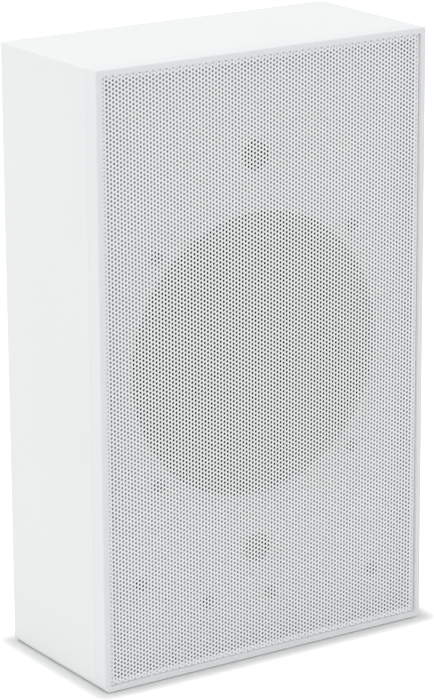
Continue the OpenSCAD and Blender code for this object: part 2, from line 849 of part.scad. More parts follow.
module terminal_block() {
    body_l = poles * pole_pitch;
    color("ivory") block_place() difference() {
        union() {
            translate([-block_l / 2, 0, -block_w / 4]) cube([block_l, foot_h, block_w / 2]);
            translate([-body_l / 2, 0, -block_w / 2]) cube([body_l, block_h, block_w]);
        }
        for (s = [-1, 1])
            translate([s * block_span / 2, -over, 0]) rotate([-90, 0, 0])
                cylinder(d = shank_d + 2 * screw_gap, h = foot_h + 2 * over);
        for (i = [0:poles - 1]) {
            translate([pole_x(i), block_h - clamp_hole_deep, 0]) rotate([-90, 0, 0])
                cylinder(d = clamp_hole_d, h = clamp_hole_deep + over);
            translate([pole_x(i), foot_h + pole_hole_rise, -block_w / 2 - over])
                cylinder(d = clamp_hole_d, h = block_w + 2 * over);
        }
    }
}

module pole_screws() {
    color("silver") block_place() for (i = [0:poles - 1])
        translate([pole_x(i), block_h - clamp_hole_deep, 0]) rotate([-90, 0, 0]) difference() {
            cylinder(d = clamp_hole_d - fit_gap, h = pole_screw_h, $fn = 36);
            translate([-clamp_hole_d, -pole_slot_w / 2, pole_screw_h - pole_slot_deep])
                cube([2 * clamp_hole_d, pole_slot_w, pole_slot_deep + over]);
        }
}

module block_screws() {
    color("dimgray") for (side = [-1, 1])
        let (p = block_screw_place(side))
            pan_screw(p[0], p[1], seam_y, baffle_t + foot_h + nut_h + screw_end, shank_d);
}

module block_nuts() {
    color("silver") for (side = [-1, 1])
        let (p = block_screw_place(side)) hex_nut(p[0], p[1], baffle_back_y + foot_h);
}

// Leads
function mixed(a, b, t) = a + (b - a) * t;

// A point between p[i] and p[i + 1] on a smooth curve through all the points
function curve_point(p, i, t) =
    let (last = len(p) - 1, a = p[max(i - 1, 0)], b = p[i], c = p[i + 1], d = p[min(i + 2, last)])
        0.5 * (2 * b + (c - a) * t + (2 * a - 5 * b + 4 * c - d) * t * t
            + (3 * b - a - 3 * c + d) * t * t * t);

function curve(p, steps) = concat(
    [for (i = [0:len(p) - 2]) for (k = [0:steps - 1]) curve_point(p, i, k / steps)],
    [p[len(p) - 1]]
);

function along(path, i) =
    let (way = path[min(i + 1, len(path) - 1)] - path[max(i - 1, 0)]) way / norm(way);

// A round lead of diameter d that follows a curve through the points
module lead(points, d) {
    sides = 8;
    path = curve(points, 3);
    last = len(path) - 1;
    ends = [along(points, 0), along(points, len(points) - 1)];
    leaning = [1, 0.3, 2];
    rings = [for (i = [0:last])
        let (way = i == 0 ? ends[0] : i == last ? ends[1] : along(path, i))
            let (across = cross(way, leaning), u = across / norm(across), v = cross(way, u))
                for (k = [0:sides - 1])
                    path[i] + d / 2 * (cos(360 * k / sides) * u + sin(360 * k / sides) * v)];
    polyhedron(
        points = rings,
        faces = concat(
            [[for (k = [0:sides - 1]) k]],
            [for (i = [0:last - 1]) for (k = [0:sides - 1])
                let (a = i * sides + k, b = i * sides + (k + 1) % sides)
                    each [[a, a + sides, b + sides], [a, b + sides, b]]],
            [[for (k = [sides - 1:-1:0]) last * sides + k]]
        )
    );
}

// Place in the block's clamp holes, at a distance beyond the block's middle
function block_lead(i, beyond) = [
    block_x + pole_x(i) * cos(block_turn) - beyond * sin(block_turn),
    baffle_back_y + foot_h + pole_hole_rise,
    axis_z + block_z + pole_x(i) * sin(block_turn) + beyond * cos(block_turn)
];

// Place over the transformer's winding: across and behind are shares of its size
function winding_lead(across, behind, above) = [
    transformer_x + across * bobbin_w, core_front_y + yoke_leg + behind * window_h,
    axis_z + transformer_z + (bobbin_d - 1) / 2 + lead_gap + above
];

function tag_lead(side, behind) = [
    side * tag_x, flange_y + basket_t + tag_strip_t + tag_t + lead_gap + behind,
    axis_z + tag_strip_z - tag_l / 6
];

module input_leads() {
    color("saddlebrown") for (i = [0, 1]) {
        pole = poles - 1 - i;
        out = block_lead(pole, block_w / 2 + lead_end);
        down = winding_lead(0.16 * i - 0.29, 0.58 + 0.05 * i, lead_end);
        to = winding_lead(0.16 * i - 0.29, 0.58 + 0.05 * i, 0);
        rise = [0, lead_apart * i, input_bow + lead_apart * i];
        behind_vent = baffle_back_y + port_len + vent_gap;
        middle = [for (t = [0.3, 0.55, 0.85])
            let (p = mixed(out, down, t), s = sin(180 * t))
                [p[0], mixed(p[1], behind_vent, s) + rise[1], p[2] + rise[2] * s * s]];
        ends = [block_lead(pole, block_w / 4), block_lead(pole, block_w / 2), out];
        lead(concat(ends, middle, [down, to]), lead_d);
    }
}

module driver_leads() {
    color("firebrick") for (i = [0, 1]) {
        side = 1 - 2 * i;
        from = winding_lead(0.14 + 0.16 * i, 0.42 + 0.16 * i, 0);
        up = winding_lead(0.14 + 0.16 * i, 0.42 + 0.16 * i, lead_end);
        near = tag_lead(side, lead_end);
        bow = [0, driver_bow * (0.75 + 1.5 * i), driver_bow];
        middle = [for (t = [0.35, 0.7]) mixed(up, near, t) + bow * sin(180 * t)];
        lead(concat([from, up], middle, [near, tag_lead(side, 0)]), lead_d);
    }
}

module tinsel_leads() {
    foot_r = mixed(cap_r, cone_out_r - cone_lip_w, 0.35);
    foot_y = cone_y(foot_r) + cone_t + tinsel_d / 2;
    color("peru") for (side = [-1, 1]) {
        from = [side * tag_x, flange_y + basket_t + tag_strip_t + tag_l - tinsel_bow,
            axis_z + tag_strip_z + tag_l / 2 + lead_gap];
        to = [side * (tag_x + tinsel_d), foot_y, axis_z - foot_r];
        before = to + [0, tinsel_end, -tinsel_end / 2];
        middle = [for (t = [0.3, 0.7]) mixed(from, before, t) + [0, tinsel_bow, 0]];
        lead(concat([from, from + [0, 0, tinsel_end]], middle, [before, to]), tinsel_d);
    }
}

// Rubber grommet in the back wall
module cable_grommet() {
    groove_from = back_in_y;
    groove_to = back_y - grommet_sink;
    neck_r = grommet_hole_d / 2 - glue_gap;
    color("black") translate([0, 0, cable_z]) rotate([-90, 0, 0]) rotate_extrude()
        polygon([
            [cable_d / 2, groove_from - grommet_rim_t], [grommet_rim_d / 2, groove_from - grommet_rim_t],
            [grommet_rim_d / 2, groove_from], [neck_r, groove_from],
            [neck_r, groove_to], [grommet_rim_d / 2, groove_to],
            [grommet_rim_d / 2, groove_to + grommet_rim_t], [cable_d / 2, groove_to + grommet_rim_t]
        ]);
}

rear_housing();
front_frame();
grille();
baffle();
baffle_seal();
baffle_screws();
basket();
driver_gasket();
driver_screws();
driver_nuts();
surround();
cone();
dust_cap();
voice_coil_former();
voice_coil_winding();
spider();
top_plate();
magnet();
yoke();
tag_strip();
solder_tags();
transformer_core();
transformer_bobbin();
transformer_winding();
transformer_clamp();
transformer_screws();
transformer_nuts();
terminal_block();
pole_screws();
block_screws();
block_nuts();
input_leads();
driver_leads();
tinsel_leads();
cable_grommet();
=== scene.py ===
# A wall speaker in a white moulded casing with a perforated front.
# The pieces follow one another as the speaker is put together, from the rear housing to the
# grille.
import math

import bmesh
import bpy
from mathutils import Matrix, Vector


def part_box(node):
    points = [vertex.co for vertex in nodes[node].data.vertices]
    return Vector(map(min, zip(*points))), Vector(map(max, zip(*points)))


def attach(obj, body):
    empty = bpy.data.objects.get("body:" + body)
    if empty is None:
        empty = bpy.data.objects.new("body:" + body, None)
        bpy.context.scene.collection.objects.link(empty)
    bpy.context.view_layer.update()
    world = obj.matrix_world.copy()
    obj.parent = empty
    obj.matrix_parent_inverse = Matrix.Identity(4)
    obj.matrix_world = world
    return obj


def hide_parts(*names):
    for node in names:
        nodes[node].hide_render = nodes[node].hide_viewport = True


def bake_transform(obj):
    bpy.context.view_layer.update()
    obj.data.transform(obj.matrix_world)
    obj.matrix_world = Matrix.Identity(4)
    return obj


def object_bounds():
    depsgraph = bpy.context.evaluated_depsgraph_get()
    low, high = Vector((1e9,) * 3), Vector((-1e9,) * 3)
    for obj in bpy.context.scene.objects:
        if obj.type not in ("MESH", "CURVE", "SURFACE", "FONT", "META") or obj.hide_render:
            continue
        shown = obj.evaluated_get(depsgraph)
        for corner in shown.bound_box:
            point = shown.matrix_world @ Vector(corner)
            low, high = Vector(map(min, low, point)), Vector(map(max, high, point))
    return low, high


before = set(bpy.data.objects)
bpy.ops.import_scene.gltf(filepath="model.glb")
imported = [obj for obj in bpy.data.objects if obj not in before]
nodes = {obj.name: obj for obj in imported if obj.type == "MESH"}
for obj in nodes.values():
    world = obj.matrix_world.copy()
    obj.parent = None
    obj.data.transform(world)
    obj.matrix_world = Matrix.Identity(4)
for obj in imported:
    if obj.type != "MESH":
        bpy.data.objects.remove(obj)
cad_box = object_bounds()
scene = bpy.context.scene


# Camera
# It stands to the left of the speaker and a little above it, so the front, the left side and
# the top all show. The long lens keeps the upright edges almost parallel.
camera_data = bpy.data.cameras.new("camera")
camera_data.sensor_fit = "VERTICAL"
camera_data.sensor_height = 36
camera_data.lens = 172.49
camera_data.clip_start = 0.1
camera_data.clip_end = 20
camera = bpy.data.objects.new("camera", camera_data)
azimuth = math.radians(-33.387)
elevation = math.radians(16.239)
roll = math.radians(-0.36)
distance = 1.5508
aim = Vector((-0.02793, cad_box[0][1], 0.15652))
outward = Vector((
    math.sin(azimuth) * math.cos(elevation),
    -math.cos(azimuth) * math.cos(elevation),
    math.sin(elevation),
))
turned = outward.to_track_quat("Z", "Y").to_matrix() @ Matrix.Rotation(roll, 3, "Z")
camera.matrix_world = Matrix.Translation(aim + distance * outward) @ turned.to_4x4()
scene.collection.objects.link(camera)
scene.camera = camera
scene.view_settings.view_transform = "Standard"


# Floor and light
# A pale studio floor takes the close soft shadow of the speaker, and painted light makes it white
# beyond.
# One weak wide lamp stands high on the left, and an even white sky gives most of the light.
class Tone:
    """A socket of a shader tree. Sums on it add Math nodes to the tree."""

    def __init__(self, tree, socket=None):
        self.tree = tree
        self.socket = socket

    def node(self, kind, settings=None, sockets=None, output=0):
        made = self.tree.nodes.new(kind)
        for name, value in (settings or {}).items():
            setattr(made, name, value)
        for key, value in (sockets or {}).items():
            if isinstance(value, Tone):
                self.tree.links.new(value.socket, made.inputs[key])
            else:
                made.inputs[key].default_value = value
        return Tone(self.tree, made.outputs[output] if made.outputs else None)

    def math(self, operation, first, second=0):
        return self.node("ShaderNodeMath", {"operation": operation}, {0: first, 1: second})

    def __add__(self, other):
        return self.math("ADD", self, other)

    def __sub__(self, other):
        return self.math("SUBTRACT", self, other)

    def __rsub__(self, other):
        return self.math("SUBTRACT", other, self)

    def __mul__(self, other):
        return self.math("MULTIPLY", self, other)

    __radd__ = __add__
    __rmul__ = __mul__


def seen_directly(tree):
    """One where a ray comes from the camera, a reflection or a clear piece, else nought."""
    path = tree.nodes.new("ShaderNodeLightPath")
    kinds = ("Is Camera Ray", "Is Glossy Ray", "Is Transmission Ray")
    camera_ray, glossy, through = (Tone(tree, path.outputs[kind]) for kind in kinds)
    return Tone(tree).node(
        "ShaderNodeClamp", sockets={"Value": camera_ray + glossy + through}
    )


def made_piece(shape, name, material):
    """Turns a bmesh into an object of the scene, and frees it."""
    mesh = bpy.data.meshes.new(name)
    shape.to_mesh(mesh)
    shape.free()
    mesh.materials.append(material)
    piece = bpy.data.objects.new(name, mesh)
    scene.collection.objects.link(piece)
    return piece


floor_tone = 0.78
shadow_from, shadow_to = 0.0005, 0.018
most_painted_floor_light = 0.85
floor_paper = bpy.data.materials.new("floor_paper")
floor_paper.use_nodes = True
tree = floor_paper.node_tree
tree.nodes.clear()
paper = Tone(tree)
diffuse = paper.node(
    "ShaderNodeBsdfDiffuse", sockets={"Color": (floor_tone, floor_tone, floor_tone, 1)}
)
foot_half = tuple((high - low) / 2 for low, high in zip(cad_box[0][:2], cad_box[1][:2]))
spot = paper.node("ShaderNodeTexCoord", output="Object")
spread = paper.node("ShaderNodeVectorMath", {"operation": "ABSOLUTE"}, {0: spot})
outside = paper.node(
    "ShaderNodeVectorMath", {"operation": "SUBTRACT"}, {0: spread, 1: (*foot_half, 1)}
)
outside = paper.node("ShaderNodeVectorMath", {"operation": "MAXIMUM"}, {0: outside, 1: (0, 0, 0)})
away = paper.node("ShaderNodeVectorMath", {"operation": "LENGTH"}, {0: outside}, output="Value")
# Painted light: the floor glows more the farther it lies from the speaker's foot, so only the
# close shadow stays.
painted_floor_light = paper.node(
    "ShaderNodeMapRange",
    {"interpolation_type": "SMOOTHSTEP"},
    {
        "Value": away, "From Min": shadow_from, "From Max": shadow_to,
        "To Min": 0.0, "To Max": most_painted_floor_light,
    },
)
seen = seen_directly(tree)
glow = paper.node("ShaderNodeEmission", sockets={"Strength": seen * painted_floor_light})
surface = paper.node("ShaderNodeAddShader", sockets={0: diffuse, 1: glow})
paper.node("ShaderNodeOutputMaterial", sockets={"Surface": surface})

floor_half = 4.0
under_foot = 0.0002
floor_sheet = bmesh.new()
bmesh.ops.create_grid(floor_sheet, x_segments=1, y_segments=1, size=floor_half)
bmesh.ops.translate(
    floor_sheet, vec=(0, 0, cad_box[0][2] - under_foot), verts=floor_sheet.verts
)
floor = made_piece(floor_sheet, "floor", floor_paper)

sky_level = 0.91
world = bpy.data.worlds.new("sky")
world.use_nodes = True
scene.world = world
tree = world.node_tree
tree.nodes.clear()
sky = Tone(tree)
lighting = sky.node("ShaderNodeBackground", sockets={"Strength": sky_level})
white = sky.node("ShaderNodeBackground", sockets={"Strength": 1.0})
for background in (lighting, white):
    background.socket.node.inputs["Color"].default_value = (1, 1, 1, 1)
mixed = sky.node("ShaderNodeMixShader", sockets={0: seen_directly(tree), 1: lighting, 2: white})
sky.node("ShaderNodeOutputWorld", sockets={"Surface": mixed})

lamp_way = Vector((-0.52, 0.15, 0.85))
lamp_aim = Vector((0, 0, 0.15))
lamp_distance = 2.2
lamp_level = 0.17
lamp_data = bpy.data.lights.new("key", "AREA")
lamp_data.shape = "SQUARE"
lamp_data.size = 1.5
lamp_data.energy = lamp_level * (math.pi * lamp_distance) ** 2
lamp = bpy.data.objects.new("key", lamp_data)
lamp.matrix_world = (
    Matrix.Translation(lamp_aim + lamp_distance * lamp_way.normalized())
    @ lamp_way.to_track_quat("Z", "Y").to_matrix().to_4x4()
)
scene.collection.objects.link(lamp)


# Rear housing
# The box is injection moulded in white ABS with a fine spark-eroded grain.
# Four holes in its back take the wall screws, and a sunk hole takes the grommet.
def colour(red, green, blue):
    """A colour in linear light from its screen values, 0 to 255."""
    parts = [value / 255 for value in (red, green, blue)]
    return tuple(p / 12.92 if p <= 0.04045 else ((p + 0.055) / 1.055) ** 2.4 for p in parts)


def clouds(tone, size, detail=3.0, stretch=(1, 1, 1)):
    """Noise between nought and one whose lumps are about size metres across."""
    place = tone.node("ShaderNodeTexCoord", output="Object")
    placed = tone.node("ShaderNodeMapping", sockets={"Vector": place, "Scale": stretch})
    return tone.node(
        "ShaderNodeTexNoise",
        sockets={"Vector": placed, "Scale": 1 / size, "Detail": detail, "Roughness": 0.55},
    )


def blended(tone, share, first, second):
    """A colour that goes from the first to the second as share goes from nought to one."""
    return tone.node(
        "ShaderNodeMix",
        {"data_type": "RGBA"},
        {0: share, 6: (*first, 1) if isinstance(first, tuple) else first, 7: (*second, 1)},
        output=2,
    )


def raised(tone, height, depth):
    """A bump whose height field runs over depth metres."""
    return tone.node(
        "ShaderNodeBump", sockets={"Height": height, "Distance": depth, "Strength": 1.0}
    )


def finish(name, make, **steady):
    """A material whose varying sockets come from make, and whose others are steady values."""
    material = bpy.data.materials.new(name)
    material.use_nodes = True
    tree = material.node_tree
    tree.nodes.clear()
    tone = Tone(tree)
    sockets = {key.replace("_", " "): value for key, value in steady.items()}
    sockets.update(make(tone))
    shader = tone.node("ShaderNodeBsdfPrincipled", sockets=sockets)
    tone.node("ShaderNodeOutputMaterial", sockets={"Surface": shader})
    return material


def dress(node, material):
    """Gives a node of the frame its material."""
    mesh = nodes[node].data
    mesh.materials.clear()
    mesh.materials.append(material)


def moulded(base, shade, grain=0.00045, deep=0.000012, rough=0.46):
    """Varying sockets of a moulded plastic: a slow drift of tone and a fine eroded grain."""

    def make(tone):
        drift = clouds(tone, size=0.09, detail=2.0)
        speck = clouds(tone, size=grain, detail=4.0)
        return {
            "Base Color": blended(tone, drift, base, shade),
            "Roughness": rough + 0.10 * (speck - 0.5) + 0.05 * drift,
            "Normal": raised(tone, speck, depth=deep),
        }

    return make


housing_plastic = finish(
    "housing_plastic",
    moulded(colour(240, 242, 242), colour(235, 238, 238)),
    Specular_IOR_Level=0.45,
)
dress("rear_housing", housing_plastic)


# Cable grommet
# A black rubber ring snaps into the sunk hole in the back, so the cable never touches the
# edge of the plastic. Its skin is dull, with a little bloom of wax.
def rubber(base, bloom, rough):
    """Dull rubber with a haze of bloom."""

    def make(tone):
        haze = clouds(tone, size=0.006, detail=3.0)
        skin = clouds(tone, size=0.0003, detail=2.0)
        return {
            "Base Color": blended(tone, haze, base, bloom),
            "Roughness": rough + 0.16 * haze,
            "Normal": raised(tone, skin, depth=0.00001),
        }

    return make


grommet_rubber = finish(
    "grommet_rubber",
    rubber(colour(30, 30, 31), colour(48, 48, 50), rough=0.58),
    Specular_IOR_Level=0.35,
)
dress("cable_grommet", grommet_rubber)


# Baffle
# The inner plate is moulded in the same white ABS, with two vent tubes on its back and the
# round opening that the driver looks out of. The bores of the vents are painted black as
# painted shade for the dark box behind them, and a strip of foam seals the rim.
baffle_low, baffle_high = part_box("baffle")
axis_z = (baffle_low.z + baffle_high.z) / 2
vent_offset = 0.0960
painted_shade_radius = 0.007875
painted_shade_depth = 0.0006


def along(tone, axis):
    """The place on one axis, in metres."""
    place = tone.node("ShaderNodeTexCoord", output="Object")
    return tone.node("ShaderNodeSeparateXYZ", sockets={"Vector": place}, output=axis)


def vents_in_painted_shade(tone):
    """White moulded plastic, painted black inside both vents as painted shade."""
    sockets = moulded(
        colour(226, 228, 229), colour(218, 221, 222), grain=0.0005, deep=0.000010, rough=0.50
    )(tone)
    x = along(tone, "X")
    z = tone.math("ABSOLUTE", along(tone, "Z") - axis_z) - vent_offset
    in_bore = tone.math("LESS_THAN", x * x + z * z, painted_shade_radius ** 2)
    behind_face = tone.math("GREATER_THAN", along(tone, "Y"), baffle_low.y + painted_shade_depth)
    # Painted shade: black inside the vent bores, behind the front face.
    painted_vent_shade = in_bore * behind_face
    return {
        "Base Color": blended(tone, painted_vent_shade, sockets["Base Color"], colour(20, 20, 22)),
        "Roughness": sockets["Roughness"] + 0.4 * painted_vent_shade,
        "Normal": sockets["Normal"],
    }


baffle_plastic = finish("baffle_plastic", vents_in_painted_shade, Specular_IOR_Level=0.4)
dress("baffle", baffle_plastic)


def foamed(tone):
    """Open cells, painted darker in their pits as painted shade."""
    cell_size = 0.000625
    place = tone.node("ShaderNodeTexCoord", output="Object")
    cells = tone.node("ShaderNodeTexVoronoi", sockets={"Vector": place, "Scale": 1 / cell_size})
    return {
        # Painted shade: darker towards the middle of each cell, where its pit lies.
        "Base Color": blended(tone, cells, colour(44, 44, 46), colour(84, 84, 87)),
        "Roughness": 0.85 + 0.10 * cells,
        "Normal": raised(tone, cells, depth=0.0002),
    }


seal_foam = finish("seal_foam", foamed, Specular_IOR_Level=0.2)
dress("baffle_seal", seal_foam)


# Screws and nuts
# The six screws of the baffle are painted white with it, and all the others are blackened
# steel. Their nuts are zinc plated, with the cloudy look of a barrel finish.
def plated(base, cloud_colour, rough, cloud_size=0.004):
    """Metal with a cloudy skin and fine scratches."""

    def make(tone):
        cloud = clouds(tone, size=cloud_size, detail=3.0)
        scratch = clouds(tone, size=0.0004, detail=2.0, stretch=(1, 9, 1))
        return {
            "Base Color": blended(tone, cloud, base, cloud_colour),
            "Roughness": rough + 0.14 * cloud + 0.06 * (scratch - 0.5),
            "Normal": raised(tone, scratch, depth=0.000005),
        }

    return make


painted_steel = finish(
    "painted_steel",
    moulded(
        colour(228, 230, 231), colour(218, 220, 221), grain=0.0006, deep=0.000008, rough=0.36
    ),
)
dress("baffle_screws", painted_steel)
black_steel = finish(
    "black_steel",
    plated(colour(90, 91, 94), colour(108, 108, 110), rough=0.40, cloud_size=0.002),
    Metallic=0.85,
)
zinc_plate = finish(
    "zinc_plate", plated(colour(196, 199, 203), colour(176, 181, 190), rough=0.26), Metallic=1.0
)
for node in ("driver_screws", "transformer_screws", "block_screws"):
    dress(node, black_steel)
for node in ("driver_nuts", "transformer_nuts", "block_nuts"):
    dress(node, zinc_plate)


# Basket and gasket
# The basket is pressed from steel sheet and stove enamelled dark grey, and a card ring
# under its flange seals it on the baffle.
def from_axis(tone):
    """Distance from the driver's axis, in metres."""
    place = tone.node("ShaderNodeTexCoord", output="Object")
    across = tone.node(
        "ShaderNodeVectorMath",
        {"operation": "MULTIPLY_ADD"},
        {0: place, 1: (1, 0, 1), 2: (0, 0, -axis_z)},
    )
    return tone.node("ShaderNodeVectorMath", {"operation": "LENGTH"}, {0: across}, output="Value")


def ridges(tone, run, pitch):
    """Even waves between nought and one along a run in metres."""
    return 0.5 * tone.math("SINE", run * (2 * math.pi / pitch)) + 0.5


def enamelled(tone):
    """Stove enamel with an orange peel skin."""
    drift = clouds(tone, size=0.03, detail=2.0)
    peel = clouds(tone, size=0.0011, detail=2.0)
    return {
        "Base Color": blended(tone, drift, colour(52, 53, 55), colour(64, 65, 66)),
        "Roughness": 0.34 + 0.10 * peel + 0.08 * drift,
        "Normal": raised(tone, peel, depth=0.00002),
    }


def carded(base, fleck, rough):
    """Pressed paper fibres, longer one way than the other."""

    def make(tone):
        fibre = clouds(tone, size=0.0009, detail=5.0, stretch=(1, 1, 3))
        blotch = clouds(tone, size=0.012, detail=3.0)
        tint = blended(tone, blotch, base, fleck)
        return {
            "Base Color": blended(tone, 0.45 * fibre, tint, fleck),
            "Roughness": rough + 0.08 * fibre,
            "Normal": raised(tone, fibre, depth=0.00006),
        }

    return make


basket_enamel = finish("basket_enamel", enamelled)
dress("basket", basket_enamel)
gasket_card = finish(
    "gasket_card",
    carded(colour(134, 104, 74), colour(108, 82, 56), rough=0.84),
    Specular_IOR_Level=0.25,
)
dress("driver_gasket", gasket_card)


# Cone and its surround
# The cone and the dust cap are dark pressed paper, glued to each other. The half roll round
# them is soft black rubber on the same paper ring, and it lets the cone travel.
cone_paper = finish(
    "cone_paper",
    carded(colour(30, 31, 35), colour(22, 23, 26), rough=0.86),
    Specular_IOR_Level=0.25,
)
cap_paper = finish(
    "cap_paper",
    carded(colour(29, 30, 34), colour(21, 22, 25), rough=0.78),
    Specular_IOR_Level=0.3,
)
dress("cone", cone_paper)
dress("dust_cap", cap_paper)
surround_rubber = finish(
    "surround_rubber",
    rubber(colour(25, 26, 29), colour(35, 36, 40), rough=0.52),
    Specular_IOR_Level=0.4,
)
sectors = 12
sector_angle = 2 * math.pi / sectors
sector_steps = 6
ring_crease = math.radians(35)


def smooth_over(piece, crease):
    """Shades a piece smooth, but for the edges that are sharper than the crease."""
    piece.data.shade_smooth()
    piece.data.set_sharp_from_angle(angle=crease)


def soft_ring(name, profile, material, still_r, moving_r):
    """Closed sectors of a ring, each a piece of its own.

    still_r and moving_r are not used. Neighbours share the plane between them, so no gap opens.
    """
    middle = Vector((0, 0, axis_z))
    for number in range(sectors):
        ring = bmesh.new()
        corners = [ring.verts.new((radius, y, axis_z)) for radius, y in profile]
        loop = [ring.edges.new((corners[i - 1], corners[i])) for i in range(len(corners))]
        bmesh.ops.spin(
            ring, geom=corners + loop, cent=middle, axis=(0, 1, 0),
            angle=sector_angle, steps=sector_steps,
        )
        bmesh.ops.holes_fill(ring, edges=[e for e in ring.edges if e.is_boundary], sides=0)
        bmesh.ops.recalc_face_normals(ring, faces=ring.faces)
        place = Matrix.Rotation(number * sector_angle, 3, "Y")
        bmesh.ops.rotate(ring, cent=middle, matrix=place, verts=ring.verts)
        piece = made_piece(ring, f"{name}_{number + 1}", material)
        smooth_over(piece, ring_crease)
        radial = Matrix.Rotation((number + 0.5) * sector_angle, 3, "Y") @ Vector((1, 0, 0))
        inwards = math.cos(sector_angle / 2)
        middle + still_r * inwards * radial
        middle + moving_r * radial
        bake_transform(piece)
        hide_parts(name)


ring_low, ring_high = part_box("surround")
roll_height = ring_high.y - ring_low.y
rubber_t = 0.0006
roll_r = 0.0635
lip_in_r = 0.0554
rim_plane = ring_high.y - rubber_t
roll_foot = 0.0001
arc_steps = 16
arc = [math.radians(180 * step / arc_steps) for step in range(arc_steps + 1)]


def half_roll(radius, angles):
    """Points of the roll's section, each a radius from the axis and a place on Y."""
    return [
        (roll_r + radius * math.cos(angle), ring_high.y - radius * math.sin(angle))
        for angle in angles
    ]


inner_arc = half_roll(roll_height - rubber_t, arc)
outer_arc = half_roll(roll_height, arc[-2:0:-1])
surround_profile = [
    (ring_high.x, ring_high.y), *inner_arc, (lip_in_r, ring_high.y), (lip_in_r, rim_plane),
    (outer_arc[0][0] - roll_foot, rim_plane), *outer_arc,
    (outer_arc[-1][0] + roll_foot, rim_plane), (ring_high.x, rim_plane),
]
soft_ring(
    "surround", surround_profile, surround_rubber,
    inner_arc[0][0], inner_arc[-1][0],
)


# Spider
# Woven cotton stiffened with resin and pressed in rings keeps the voice coil in the middle.
# The threads still show through the yellow resin.
def resined(tone):
    """Woven threads under stained resin."""
    thread_pitch = 0.0007
    warp = ridges(tone, along(tone, "X"), thread_pitch)
    weft = ridges(tone, along(tone, "Z"), thread_pitch)
    weave = warp * weft
    stain = clouds(tone, size=0.01, detail=3.0)
    cloth = blended(tone, weave, colour(150, 118, 62), colour(196, 166, 102))
    return {
        "Base Color": blended(tone, 0.4 * stain, cloth, colour(140, 104, 50)),
        "Roughness": 0.66 + 0.14 * weave,
        "Normal": raised(tone, weave, depth=0.00012),
    }


spider_cloth = finish("spider_cloth", resined, Specular_IOR_Level=0.3)
cloth_low, cloth_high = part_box("spider")
cloth_t = 0.0005
wave_height = 0.0012
waves = 4
steps_a_wave = 8
wave_from, wave_to = 0.0131, 0.0330
cloth_plane = cloth_low.y + wave_height
wave_steps = steps_a_wave * waves
front_waves = []
for step in range(wave_steps + 1):
    share = step / wave_steps
    lift = wave_height * math.sin(2 * math.pi * waves * share)
    front_waves.append((wave_from + (wave_to - wave_from) * share, cloth_plane - lift))
spider_profile = [
    *front_waves, (cloth_high.x, cloth_plane), (cloth_high.x, cloth_plane + cloth_t),
    *((radius, y + cloth_t) for radius, y in reversed(front_waves)),
]
soft_ring("spider", spider_profile, spider_cloth, wave_to, wave_from)


# Voice coil
# Two layers of enamelled copper wire are wound on a tube of amber polyimide film, which
# hangs in the gap of the magnet.
def wound(base, shade, pitch, rough):
    """Round wire laid turn by turn along Y, painted darker between the turns as painted shade."""

    def make(tone):
        turns = ridges(tone, along(tone, "Y"), pitch)
        drift = clouds(tone, size=0.004, detail=2.0)
        return {
            # Painted shade: the darker colour lies in the grooves between the turns.
            "Base Color": blended(tone, 0.6 * turns + 0.3 * drift, shade, base),
            "Roughness": rough + 0.10 * drift,
            "Normal": raised(tone, turns, depth=pitch * 0.4),
        }

    return make


def filmed(tone):
    """Glossy amber film."""
    drift = clouds(tone, size=0.008, detail=3.0)
    return {
        "Base Color": blended(tone, drift, colour(176, 104, 30), colour(150, 82, 22)),
        "Roughness": 0.22 + 0.12 * drift,
        "Normal": raised(tone, clouds(tone, size=0.002, detail=1.0), depth=0.00002),
    }


coil_copper = finish(
    "coil_copper",
    wound(colour(206, 116, 66), colour(120, 58, 32), pitch=0.00025, rough=0.24),
    Metallic=1.0,
)
dress("voice_coil_winding", coil_copper)
former_film = finish("former_film", filmed)
dress("voice_coil_former", former_film)


# Magnet and its steel plates
# A ring of pressed and fired ferrite is glued between two turned steel plates, of which the
# rear one carries the pole. The plates are zinc plated over the marks of the lathe.
def fired(tone):
    """Dull grey ferrite with a gritty skin."""
    grit = clouds(tone, size=0.0005, detail=4.0)
    patch = clouds(tone, size=0.014, detail=3.0)
    return {
        "Base Color": blended(tone, patch, colour(58, 58, 60), colour(44, 44, 47)),
        "Roughness": 0.62 + 0.16 * grit,
        "Normal": raised(tone, grit, depth=0.00004),
    }


def turned_steel(tone):
    """Zinc plate over the rings that the lathe left."""
    lathe = ridges(tone, from_axis(tone), pitch=0.0004)
    cloud = clouds(tone, size=0.009, detail=3.0)
    return {
        "Base Color": blended(tone, cloud, colour(190, 193, 198), colour(168, 173, 184)),
        "Roughness": 0.25 + 0.12 * cloud + 0.05 * lathe,
        "Normal": raised(tone, lathe, depth=0.000006),
    }


ferrite = finish("ferrite", fired, Specular_IOR_Level=0.4)
plate_steel = finish("plate_steel", turned_steel, Metallic=1.0)
dress("magnet", ferrite)
dress("top_plate", plate_steel)
dress("yoke", plate_steel)


# Tag strip
# Two tinned brass tags stand on a strip of brown paper laminate, which is glued to the back
# of the flange. The leads are soldered to them.
def laminated(tone):
    """Pressed brown paper with streaks of resin."""
    sheets = clouds(tone, size=0.0012, detail=4.0, stretch=(1, 6, 1))
    return {
        "Base Color": blended(tone, sheets, colour(112, 66, 36), colour(88, 50, 28)),
        "Roughness": 0.40 + 0.12 * sheets,
        "Normal": raised(tone, sheets, depth=0.00001),
    }


paper_laminate = finish("paper_laminate", laminated)
dress("tag_strip", paper_laminate)
tinned_brass = finish(
    "tinned_brass",
    plated(colour(208, 207, 200), colour(188, 184, 168), rough=0.30, cloud_size=0.0015),
    Metallic=1.0,
)
dress("solder_tags", tinned_brass)


